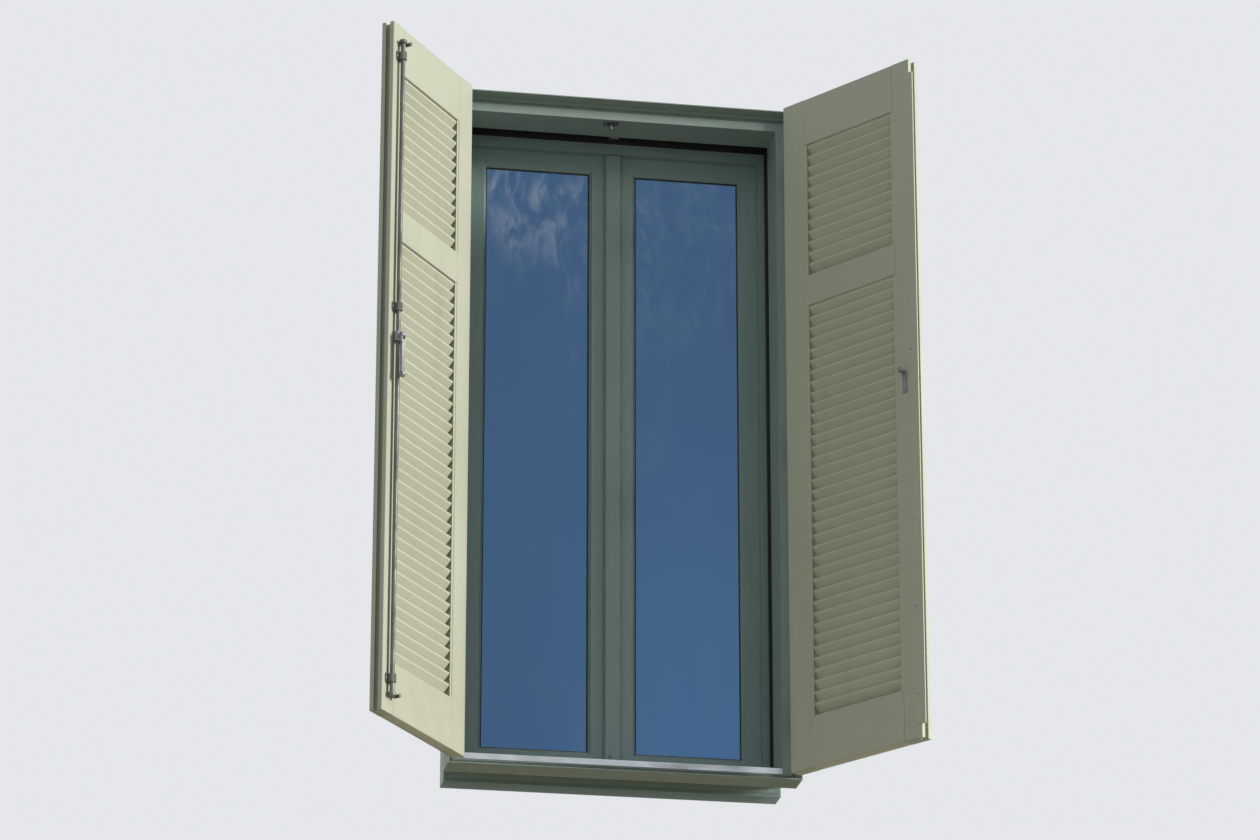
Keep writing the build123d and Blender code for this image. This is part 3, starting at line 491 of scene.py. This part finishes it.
class Stock:
    """Faces of one piece, gathered where they are at rest."""

    def __init__(self):
        self.points, self.faces = [], []

    def skin(self, rows, place=None):
        """Skin over rows of points: each row is a closed ring, and the first and last are capped."""
        place = place or Matrix()
        start, width, last = len(self.points), len(rows[0]), len(rows) - 1
        self.points += [place @ Vector(point) for row in rows for point in row]
        made = []
        for i in range(last):
            low, high = start + i * width, start + (i + 1) * width
            for j in range(width):
                k = (j + 1) % width
                made.append((low + j, low + k, high + k, high + j))
        made.append(tuple(start + j for j in reversed(range(width))))
        made.append(tuple(start + last * width + j for j in range(width)))
        mirrored = place.determinant() < 0
        self.faces += [tuple(reversed(face)) for face in made] if mirrored else made

    def turned(self, profile, place, sides=ROUND_SIDES):
        """Form turned about the place's Z axis, from (radius, height) pairs. One with True is six-sided."""
        rows = []
        for radius, height, *six_sided in profile:
            row = []
            for step in range(sides):
                angle = 2 * pi * step / sides
                reach = radius
                if six_sided:
                    reach = radius * cos(pi / 6) / cos((angle % (pi / 3)) - pi / 6)
                row.append((reach * cos(angle), reach * sin(angle), height))
            rows.append(row)
        self.skin(rows, place)

    def mitred_ring(self, section, left, right, foot, head, depth):
        """Mitred rectangular ring. The section gives (inset, depth) pairs going round it."""
        start = len(self.points)
        for inset, forward in section:
            sides, ends = (left + inset, right - inset), (foot + inset, head - inset)
            for x, z in ((0, 0), (1, 0), (1, 1), (0, 1)):
                self.points.append(Vector((sides[x], depth + forward, ends[z])))
        for i in range(len(section)):
            near, far = start + 4 * i, start + 4 * ((i + 1) % len(section))
            for corner in range(4):
                after = (corner + 1) % 4
                self.faces.append((near + corner, near + after, far + after, far + corner))

    def piece(self, name, finish, body, slot, smooth=32):
        """Makes the piece's object, which rides on a body. Edges sharper than smooth degrees stay sharp."""
        mesh = bpy.data.meshes.new(name)
        mesh.from_pydata([tuple(point) for point in self.points], [], self.faces)
        mesh.validate()
        shell = bmesh.new()
        shell.from_mesh(mesh)
        bmesh.ops.recalc_face_normals(shell, faces=shell.faces)
        shell.to_mesh(mesh)
        shell.free()
        mesh.shade_smooth()
        mesh.set_sharp_from_angle(angle=radians(smooth))
        mesh.materials.append(FINISHES[finish])
        made = bpy.data.objects.new(name, mesh)
        bpy.context.scene.collection.objects.link(made)
        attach(made, body)
        return made


def leaf_place(side):
    """Takes a place on the shut left leaf to its side of the frame, swung open."""
    swing = Matrix.Rotation(-OPEN_ANGLE, 4, "Z")
    turn = Matrix.Translation(HINGE_AXIS) @ swing @ Matrix.Translation(-HINGE_AXIS)
    return turn if side == "left" else MIRROR @ turn


def shut_box(node, side="left"):
    """Lowest and highest corner of a leaf's node with the leaf shut, drawn on the left."""
    shut = leaf_place(side).inverted()
    points = [shut @ vertex.co for vertex in frame["nodes"][node].data.vertices]
    coordinates = list(zip(*points))
    return Vector([min(line) for line in coordinates]), Vector([max(line) for line in coordinates])


def rod_axis():
    """A point on the turning rod's axis at the handle's level, with the left leaf shut."""
    return leaf_place("left").inverted() @ Vector(JOINTS["rod_turn"]["pos_m"])


def facing(point, direction):
    """Place whose Z axis points in a direction."""
    turn = Vector(direction).to_track_quat("Z", "Y").to_matrix().to_4x4()
    return Matrix.Translation(Vector(point)) @ turn


def screw_profile(radius, proud, socket):
    """Low domed head, with a hexagonal socket of the given radius."""
    return [
        (radius, 0.0),
        (radius * 0.985, proud * 0.35),
        (radius * 0.86, proud * 0.72),
        (radius * 0.62, proud * 0.95),
        (socket * 1.12, proud),
        (socket, proud * 0.96, True),
        (socket * 0.92, proud * 0.3, True),
        (socket * 0.3, proud * 0.16, True),
    ]


def hinge_screws(on_leaf, on_frame, side, profile):
    """Screws of one leaf's hinges, in the wings on the leaf and in the wings on the frame."""
    low, high = shut_box("shutter_left_hinge_wings")
    leaf_edge = shut_box("shutter_left_hinge_stile")[0].x
    wing_middle = high.y - WING_HALF_WIDTH
    first, last = low.z + WING_HALF_HEIGHT, high.z - WING_HALF_HEIGHT
    mirror = Matrix() if side == "left" else MIRROR
    for level in (first, (first + last) / 2, last):
        for rise, shift in WING_SCREWS:
            y, z = wing_middle + shift, level + rise
            on_leaf.turned(profile, leaf_place(side) @ facing((leaf_edge - WING_THICK, y, z), LEFT))
            seat = leaf_edge - HINGE_GAP + WING_THICK
            on_frame.turned(profile, mirror @ facing((seat, y, z), RIGHT))


def guide_screws(on_leaf, profile):
    """Two screws beside the rod in each of its guides, on the left leaf."""
    low, high = shut_box("rod_guides")
    rod = rod_axis()
    for level in (low.z + GUIDE_HALF_HEIGHT, MIDDLE_GUIDE_LEVEL, high.z - GUIDE_HALF_HEIGHT):
        for across in (-GUIDE_SCREW_ACROSS, GUIDE_SCREW_ACROSS):
            spot = (rod.x + across, low.y + GUIDE_PLATE, level)
            on_leaf.turned(profile, leaf_place("left") @ facing(spot, INDOORS))


def rest_screws(on_leaf, profile):
    """Two screws in the handle rest, on the right leaf."""
    low, high = shut_box("handle_rest", "right")
    for drop in REST_SCREW_DROPS:
        spot = ((low.x + high.x) / 2, low.y + REST_PLATE, high.z - drop)
        on_leaf.turned(profile, leaf_place("right") @ facing(spot, INDOORS))


def strip_screws(on_leaf, profile):
    """A row of screws down the strip over the meeting edges, between its edge and the leaf's."""
    low, high = shut_box("meeting_strip", "right")
    leaf_edge = shut_box("shutter_right_free_stile", "right")[1].x
    for step in range(STRIP_SCREWS):
        level = STRIP_FIRST + step * (STRIP_LAST - STRIP_FIRST) / (STRIP_SCREWS - 1)
        spot = ((low.x + leaf_edge) / 2, high.y, level)
        on_leaf.turned(profile, leaf_place("right") @ facing(spot, INDOORS))


def keeper_screws(on_frame, profile):
    """Two screws in each keeper of the rod's hooks, on the threshold and under the head."""
    low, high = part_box("hook_keepers")
    middle = (low + high) / 2
    for across in (-KEEPER_SCREW_ACROSS, KEEPER_SCREW_ACROSS):
        x, y = middle.x + across, middle.y
        on_frame.turned(profile, facing((x, y, low.z + KEEPER_THICK), UP))
        on_frame.turned(profile, facing((x, y, high.z - KEEPER_THICK), DOWN))


def catch_screws(on_frame, profile):
    """Two screws in the slim catch of the right screen channel."""
    low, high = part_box("screen_catch")
    for rise in CATCH_SCREW_RISES:
        spot = (high.x - CATCH_SCREW_INSET, low.y, low.z + rise)
        on_frame.turned(profile, facing(spot, OUTDOORS))


def flattened(value):
    """Sine or cosine of a turn, moved outwards, so that a ring's sides are flatter than a circle's."""
    return abs(value) ** GRIP_FLATNESS * (1 if value >= 0 else -1)


def grip_rows(low, high):
    """Rings of the lever's grip from head to foot: round ends, a slight waist and a bow to the sash."""
    length, middle_x = high.z - low.z, (low.x + high.x) / 2
    rows = []
    for step in range(GRIP_ROWS + 1):
        share = (1 - cos(pi * step / GRIP_ROWS)) / 2
        half_width = GRIP_HALF_WIDTH - GRIP_WAIST * sin(pi * share)
        from_end = min(1.0, min(share, 1 - share) * length / half_width)
        rounding = max(GRIP_TIP, (1 - (1 - from_end) ** 2) ** 0.5)
        half_thick = (GRIP_THICK / 2 - GRIP_TAPER * share) * (GRIP_END + (1 - GRIP_END) * rounding)
        middle_y = high.y - GRIP_THICK / 2 - GRIP_BOW * sin(pi * min(1, share * 1.1))
        row = []
        for spoke in range(GRIP_SPOKES):
            angle = 2 * pi * spoke / GRIP_SPOKES
            x = middle_x + half_width * rounding * flattened(cos(angle))
            y = middle_y + half_thick * flattened(sin(angle))
            row.append((x, y, high.z - length * share))
        rows.append(row)
    return rows


def bulb_section(width, reach):
    """Half-round section of a bulb seal that stands on a face."""
    section = [(0, 0)]
    for step in range(BULB_STEPS + 1):
        angle = pi * step / BULB_STEPS
        section.append((width / 2 - width / 2 * cos(angle), reach * (0.25 + 0.75 * sin(angle))))
    section.append((width, 0))
    return section


class SHUTTERS_OT_finishes(bpy.types.Operator):
    """Make the finishes and give every CAD piece the finish of its material slot"""

    bl_idname = "shutters.finishes"
    bl_label = "Finishes"

    def execute(self, context):
        colours, fade = context.scene.shutter_colours, context.scene.shutter_sizes.fade
        leaf, outer, dust = tuple(colours.leaf_paint), tuple(colours.frame_paint_shaded), tuple(colours.dust)
        # Painted shade: the frame paint, and the grey rubber and fixing caps made from it, are darker and bluer
        # than the leaf paint.
        powder_coat("painted_aluminium", outer, dust, fade)
        # Painted light: the slats get a paler copy of the leaf paint, so that the louvres, which take less of the
        # light, look as bright as the stiles.
        powder_coat("slat_paint", shade(leaf, 1.12), dust, fade)
        powder_coat("leaf_paint", leaf, dust, fade)
        # Painted shade: the timber paint is a darker, bluer copy of the leaf paint.
        timber_coat("painted_timber", tuple(colours.timber_paint_shaded), dust)
        glass_painted_with_sky("window_glass", tuple(colours.glass_painted_sky))
        black_coat("black_channel", dust)
        self.metals(dust)
        matt_skin("seal_rubber", BLACK_RUBBER, dust, roughness=0.62, mottle=0.4)
        matt_skin("grey_rubber", shade(outer, 0.42), dust, roughness=0.62, mottle=0.4)
        matt_skin("cap_plastic", shade(leaf, 0.8), dust, roughness=0.5, mottle=0.2)
        matt_skin("fixing_cap", shade(outer, 0.85), dust, roughness=0.5, mottle=0.2)
        for row in frame["record"]["subparts"]:
            mesh = frame["nodes"][row["node"]].data
            mesh.materials.clear()
            mesh.materials.append(FINISHES[finish_name(row["node"], row["material_slot"])])
        return {"FINISHED"}

    def metals(self, dust):
        """Metals of the fittings. The smaller the stretch along an axis, the longer the lines along it."""
        level = (0.05, 1, 1)
        upright_long, upright, upright_short = (1, 1, 0.05), (1, 1, 0.1), (1, 1, 0.2)
        worked_metal("cleat_aluminium", (0.55, 0.56, 0.57), dust, 0.45, scratches=0.1)
        worked_metal("bare_aluminium", (0.60, 0.63, 0.67), dust, 0.34, level, scratches=0.25, tarnish=0.2)
        worked_metal("hinge_steel", (0.36, 0.37, 0.355), dust, 0.52, upright_long)
        worked_metal("bolt_metal", (0.16, 0.165, 0.15), dust, 0.46, upright_short, tarnish=0.45)
        worked_metal("handle_metal", (0.30, 0.305, 0.32), dust, 0.62, upright_short, tarnish=0.3)
        worked_metal("window_metal", (0.58, 0.58, 0.56), dust, 0.24, upright, scratches=0.15, tarnish=0.15)


class SHUTTERS_OT_screws(bpy.types.Operator):
    """Set the screws of the hinges, rod guides, keepers, handle rest, meeting strip and catch"""

    bl_idname = "shutters.screws"
    bl_label = "Screws"

    def execute(self, context):
        radius = context.scene.shutter_sizes.screw_radius
        flush = screw_profile(radius, FLUSH_PROUD, socket=radius * 0.5)
        domed = screw_profile(radius * 0.9, DOMED_PROUD, socket=radius * 0.42)
        on_frame = Stock()
        for side in ("left", "right"):
            on_leaf = Stock()
            hinge_screws(on_leaf, on_frame, side, flush)
            if side == "left":
                guide_screws(on_leaf, screw_profile(SMALL_HEAD, GUIDE_PROUD, socket=0.0012))
            else:
                rest_screws(on_leaf, domed)
                strip_screws(on_leaf, flush)
            on_leaf.piece(f"shutter_{side}_screws", "hinge_steel", f"shutter_{side}", "hinge_steel")
        keeper_screws(on_frame, domed)
        catch_screws(on_frame, screw_profile(SMALL_HEAD, CATCH_PROUD, socket=0.0011))
        on_frame.piece("frame_screws", "hinge_steel", "frame", "hinge_steel")
        return {"FINISHED"}


class SHUTTERS_OT_caps(bpy.types.Operator):
    """Cap the wall fixings in the jambs and the ends of the casement hinges"""

    bl_idname = "shutters.caps"
    bl_label = "Caps"

    def execute(self, context):
        self.fixing_caps(context.scene.shutter_sizes.cap_radius)
        for side in ("left", "right"):
            self.hinge_caps(side)
        return {"FINISHED"}

    def fixing_caps(self, radius):
        """A low dome over each bolt of the jambs, on the face towards the opening."""
        dome = [
            (radius, 0.0),
            (radius, 0.0006),
            (radius * 0.93, 0.0013),
            (radius * 0.7, 0.0018),
            (radius * 0.35, 0.0021),
            (radius * 0.08, 0.0022),
        ]
        covers = Stock()
        opening_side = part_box("frame_jamb_right")[0].x
        for mount in frame["record"]["mounts"]:
            if mount["kind"] == "bolt_pattern":
                outwards = mount["axis"][0]
                _, y, middle = mount["pos_m"]
                half_spacing = mount["dims"]["spacing_y_mm"] / 2000
                for level in (middle - half_spacing, middle + half_spacing):
                    spot = (outwards * opening_side, y, level)
                    covers.turned(dome, facing(spot, (-outwards, 0, 0)), FINE_SIDES)
        covers.piece("fixing_caps", "fixing_cap", "frame", "cap_plastic")

    def hinge_caps(self, side):
        """A bead on each end of a casement's hinges: the upper knuckle turns with the sash."""
        bead = [
            (SASH_BARREL, 0.0),
            (SASH_BARREL * 1.06, 0.0006),
            (SASH_BARREL * 1.06, 0.0018),
            (SASH_BARREL * 0.85, 0.0034),
            (SASH_BARREL * 0.45, 0.0043),
            (SASH_BARREL * 0.06, 0.0046),
        ]
        x, y, _ = JOINTS[f"sash_{side}_swing"]["pos_m"]
        lower_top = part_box("sash_hinge_feet")[0].z + SASH_HINGE_HEIGHT
        upper_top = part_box(f"sash_{side}_hinges")[1].z
        tops, feet = Stock(), Stock()
        for level in (lower_top, upper_top):
            tops.turned(bead, facing((x, y, level), UP), FINE_SIDES)
            feet.turned(bead, facing((x, y, level - SASH_HINGE_HEIGHT), DOWN), FINE_SIDES)
        tops.piece(f"sash_{side}_hinge_caps", "window_metal", f"sash_{side}", "window_metal")
        feet.piece(f"hinge_foot_caps_{side}", "window_metal", "frame", "window_metal")


class SHUTTERS_OT_gaskets(bpy.types.Operator):
    """Fit the rubber round the glass, outside and inside"""

    bl_idname = "shutters.gaskets"
    bl_label = "Glazing gaskets"

    def execute(self, context):
        width = context.scene.shutter_sizes.gasket_width
        inner = [(0, 0), (0, 0.0022), (width * 0.35, 0.0030), (width * 0.8, 0.0020), (width, 0)]
        outer = [(inset, -rise) for inset, rise in inner]
        for side in ("left", "right"):
            low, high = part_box(f"sash_{side}_frame")
            pane_low, pane_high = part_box(f"sash_{side}_panes")
            rubber = Stock()
            for section, face, depth in (
                (outer, SASH_FACE_OUTSIDE, pane_low.y),
                (inner, SASH_FACE_INSIDE, pane_high.y),
            ):
                rubber.mitred_ring(section, low.x + face, high.x - face, low.z + face, high.z - face, depth)
            rubber.piece(f"sash_{side}_gaskets", "seal_rubber", f"sash_{side}", "seal_rubber")
        return {"FINISHED"}


class SHUTTERS_OT_seals(bpy.types.Operator):
    """Lay the hollow bulb seals that the leaves and the casements press on"""

    bl_idname = "shutters.seals"
    bl_label = "Frame seals"

    def execute(self, context):
        low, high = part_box("frame_seals")
        bulbs = Stock()
        leaf_bulb = bulb_section(LEAF_BULB_WIDTH, LEAF_BULB_REACH)
        bulbs.mitred_ring(leaf_bulb, low.x, high.x, low.z, high.z, LEAF_SEAL_FACE)
        low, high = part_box("sash_left_frame")
        left, foot, head = low.x + SEAL_INSET, low.z + SEAL_INSET, high.z - SEAL_INSET
        sash_bulb = bulb_section(SASH_BULB_WIDTH, SASH_BULB_REACH)
        bulbs.mitred_ring(sash_bulb, left, -left, foot, head, low.y - SEAL_CLEAR)
        made = bulbs.piece("frame_seal_bulbs", "grey_rubber", "frame", "seal_rubber", 50)
        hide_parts("frame_seals")
        return {"FINISHED"}


class SHUTTERS_OT_lever(bpy.types.Operator):
    """Shape the casement's lever with a collar and a grip, and set the screws of its rose"""

    bl_idname = "shutters.lever"
    bl_label = "Casement lever"

    def execute(self, context):
        low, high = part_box("sash_left_lever")
        x, _, level = JOINTS["lever_turn"]["pos_m"]
        reach = high.y - low.y - GRIP_THICK
        lever = Stock()
        collar = [(0.008, 0.0), (0.008, 0.003), (0.0066, 0.0042), (0.0060, 0.006), (0.0060, reach)]
        lever.turned(collar, facing((x, low.y, level), INDOORS), FINE_SIDES)
        lever.skin(grip_rows(low, high))
        made = lever.piece("casement_lever", "window_metal", "sash_lever", "window_metal", 45)
        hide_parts("sash_left_lever")
        rose = Stock()
        head = screw_profile(ROSE_HEAD, ROSE_PROUD, socket=0.0016)
        rose_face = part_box("sash_left_rose")[1].y
        for rise in (-ROSE_SCREW_RISE, ROSE_SCREW_RISE):
            rose.turned(head, facing((x, rose_face, level + rise), INDOORS))
        rose.piece("rose_screws", "window_metal", "sash_left", "window_metal")
        return {"FINISHED"}


class SHUTTERS_OT_rod_fittings(bpy.types.Operator):
    """Pin the hooks and the drop handle's lug to the turning rod, and cap its ends"""

    bl_idname = "shutters.rod_fittings"
    bl_label = "Rod fittings"

    def execute(self, context):
        low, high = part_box("bolt_rod")
        rod = rod_axis()
        out = Vector((cos(GRUB_TURN), sin(GRUB_TURN), 0))
        stud = screw_profile(GRUB_HEAD, GRUB_PROUD, socket=0.0011)
        pins = Stock()
        foot, head = low.z + HOOK_COLLAR_INSET, high.z - HOOK_COLLAR_INSET
        collars = [(foot, HOOK_COLLAR_REACH), (head, HOOK_COLLAR_REACH)]
        collars += [(rod.z + rise, LUG_COLLAR_REACH) for rise in LUG_COLLAR_RISES]
        for level, reach in collars:
            spot = Vector((rod.x, rod.y, level)) + out * reach
            pins.turned(stud, leaf_place("left") @ facing(spot, out), GRUB_SIDES)
        pins.piece("rod_grub_screws", "hinge_steel", "bolt_rod", "hinge_steel")
        middle = (low + high) / 2
        end = [(0.0060, 0.0), (0.0058, 0.0004), (0.0048, 0.0009), (0.0008, 0.0012)]
        caps = Stock()
        caps.turned(end, facing((middle.x, middle.y, high.z), UP), FINE_SIDES)
        caps.turned(end, facing((middle.x, middle.y, low.z), DOWN), FINE_SIDES)
        caps.piece("rod_end_caps", "bolt_metal", "bolt_rod", "bolt_metal")
        return {"FINISHED"}


class SHUTTERS_OT_stage(bpy.types.Operator):
    """Set the floor, the soft light, the pale surroundings and the camera"""

    bl_idname = "shutters.stage"
    bl_label = "Stage"

    def execute(self, context):
        scene = context.scene
        backdrop = tuple(scene.shutter_colours.backdrop)
        self.floor(scene, backdrop)
        self.surroundings(scene, backdrop)
        self.sun(scene, "key", **KEY_SUN)
        self.sun(scene, "fill", **FILL_SUN)
        self.camera(scene)
        scene.view_settings.view_transform = "Standard"
        return {"FINISHED"}

    def floor(self, scene, backdrop):
        """Wide floor that is clear from below and to the light that reaches the object's underside."""
        finish = Finish("stage_floor", Roughness=0.9, Base_Color=shade(backdrop, FLOOR_LIFT))
        behind = finish.node("ShaderNodeNewGeometry", output="Backfacing")
        let_through = behind.most(finish.ray("Is Shadow Ray")).most(finish.ray("Is Diffuse Ray"))
        solid = Field(finish, finish.shader.outputs["BSDF"])
        clear = finish.node("ShaderNodeBsdfTransparent")
        surface = finish.node("ShaderNodeMixShader", None, {0: let_through, 1: solid, 2: clear})
        finish.put(finish.tree.nodes["Material Output"].inputs["Surface"], surface)
        mesh = bpy.data.meshes.new("floor")
        turns = [2 * pi * step / FLOOR_SIDES for step in range(FLOOR_SIDES)]
        rim = [(FLOOR_RADIUS * cos(turn), FLOOR_RADIUS * sin(turn), FLOOR_LEVEL) for turn in turns]
        mesh.from_pydata(rim, [], [tuple(range(FLOOR_SIDES))])
        mesh.materials.append(finish.material)
        floor = bpy.data.objects.new("floor", mesh)
        scene.collection.objects.link(floor)
        floor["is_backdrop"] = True

    def surroundings(self, scene, backdrop):
        """Pale world for what is seen, and a dimmer one, cool above and warm below, for the light."""
        world = scene.world = bpy.data.worlds.new("studio")
        world.use_nodes = True
        world.node_tree.nodes.clear()
        sky = Nodes(world.node_tree)
        seen = sky.ray("Is Camera Ray").most(sky.ray("Is Glossy Ray")).most(sky.ray("Is Transmission Ray"))
        height = sky.axis(sky.node("ShaderNodeTexCoord", output="Generated"), "Z")
        tone = sky.blend(height.between(*SKY_TURN), SKY_BELOW, SKY_ABOVE)
        ambient = sky.node("ShaderNodeBackground", None, {"Color": tone, "Strength": SKY_STRENGTH})
        pale = sky.node("ShaderNodeBackground", None, {"Color": backdrop, "Strength": 1.0})
        shown = sky.node("ShaderNodeMixShader", None, {0: seen, 1: ambient, 2: pale})
        sky.node("ShaderNodeOutputWorld", None, {"Surface": shown})

    def sun(self, scene, name, azimuth, height, strength, spread, colour):
        """A soft sun. Its azimuth goes from straight in front towards the right, in degrees."""
        lamp = bpy.data.lights.new(name, "SUN")
        lamp.energy, lamp.angle, lamp.color = strength, radians(spread), colour
        light = bpy.data.objects.new(name, lamp)
        scene.collection.objects.link(light)
        light.rotation_mode = "QUATERNION"
        light.rotation_quaternion = self.towards(azimuth, height).to_track_quat("Z", "Y")
        light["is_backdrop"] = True

    def camera(self, scene):
        """Long lens from below and a little to the left, aimed at the object's middle."""
        low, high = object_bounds()
        back = self.towards(CAMERA_AZIMUTH, CAMERA_HEIGHT)
        data = bpy.data.cameras.new("camera")
        data.lens, data.sensor_width = LENS, SENSOR
        camera = bpy.data.objects.new("camera", data)
        scene.collection.objects.link(camera)
        camera.location = (low + high) / 2 + back * CAMERA_REACH
        camera.rotation_mode = "QUATERNION"
        camera.rotation_quaternion = back.to_track_quat("Z", "Y")
        scene.camera = camera

    def towards(self, azimuth, height):
        """Direction from the object, by degrees to the right of straight in front and up from level."""
        a, e = radians(azimuth), radians(height)
        return Vector((sin(a) * cos(e), -cos(a) * cos(e), sin(e)))


OPERATORS = (
    SHUTTERS_OT_finishes,
    SHUTTERS_OT_screws,
    SHUTTERS_OT_caps,
    SHUTTERS_OT_gaskets,
    SHUTTERS_OT_seals,
    SHUTTERS_OT_lever,
    SHUTTERS_OT_rod_fittings,
    SHUTTERS_OT_stage,
)


class SHUTTERS_PT_sidebar(bpy.types.Panel):
    """Colours, sizes and steps of the shutters"""

    bl_idname = "SHUTTERS_PT_sidebar"
    bl_label = "Louvred shutters"
    bl_space_type = "VIEW_3D"
    bl_region_type = "UI"
    bl_category = "Shutters"

    def draw(self, context):
        for group in (context.scene.shutter_colours, context.scene.shutter_sizes):
            for name in group.__annotations__:
                self.layout.prop(group, name)
        for operator in OPERATORS:
            self.layout.operator(operator.bl_idname)


CLASSES = (ShutterColours, ShutterSizes, *OPERATORS, SHUTTERS_PT_sidebar)


def register():
    for item in CLASSES:
        bpy.utils.register_class(item)
    bpy.types.Scene.shutter_colours = bpy.props.PointerProperty(type=ShutterColours)
    bpy.types.Scene.shutter_sizes = bpy.props.PointerProperty(type=ShutterSizes)


def unregister():
    del bpy.types.Scene.shutter_sizes
    del bpy.types.Scene.shutter_colours
    for item in reversed(CLASSES):
        bpy.utils.unregister_class(item)


def main():
    register()
    bpy.ops.shutters.finishes()
    bpy.ops.shutters.screws()
    bpy.ops.shutters.caps()
    bpy.ops.shutters.gaskets()
    bpy.ops.shutters.seals()
    bpy.ops.shutters.lever()
    bpy.ops.shutters.rod_fittings()
    bpy.ops.shutters.stage()


if __name__ == "__main__":
    main()
